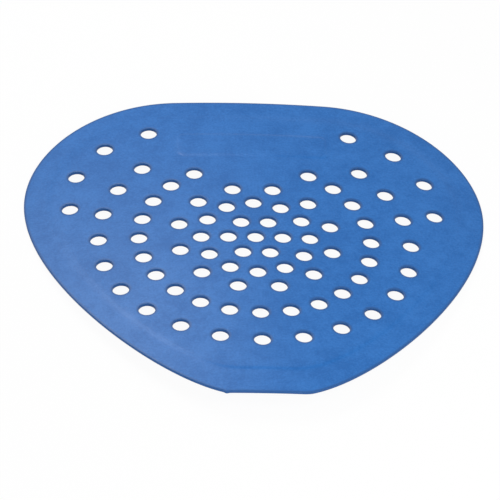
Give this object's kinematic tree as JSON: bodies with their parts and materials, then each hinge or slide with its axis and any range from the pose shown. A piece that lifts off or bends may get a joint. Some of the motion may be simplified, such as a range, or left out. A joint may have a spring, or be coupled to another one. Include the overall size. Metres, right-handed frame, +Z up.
{
  "type": "urinal deodorizer screen",
  "caption": "Thin, gently arched sheet of soft blue vinyl, wide and rounded at the back and narrow at the front, with rings of round drain holes and a blank label pad.",
  "frame": {"origin": "on the surface that the sheet lies on, under the middle of its outline", "axes": "+X across the sheet to its right side, +Y from the short front edge to the long back edge, +Z up through the crown of the arch"},
  "size_m": [0.19, 0.185, 0.0092],
  "materials": {
    "vinyl": "soft satin, coloured through"
  },
  "bodies": {
    "root": {"screen": "vinyl"}
  },
  "joints": []
}
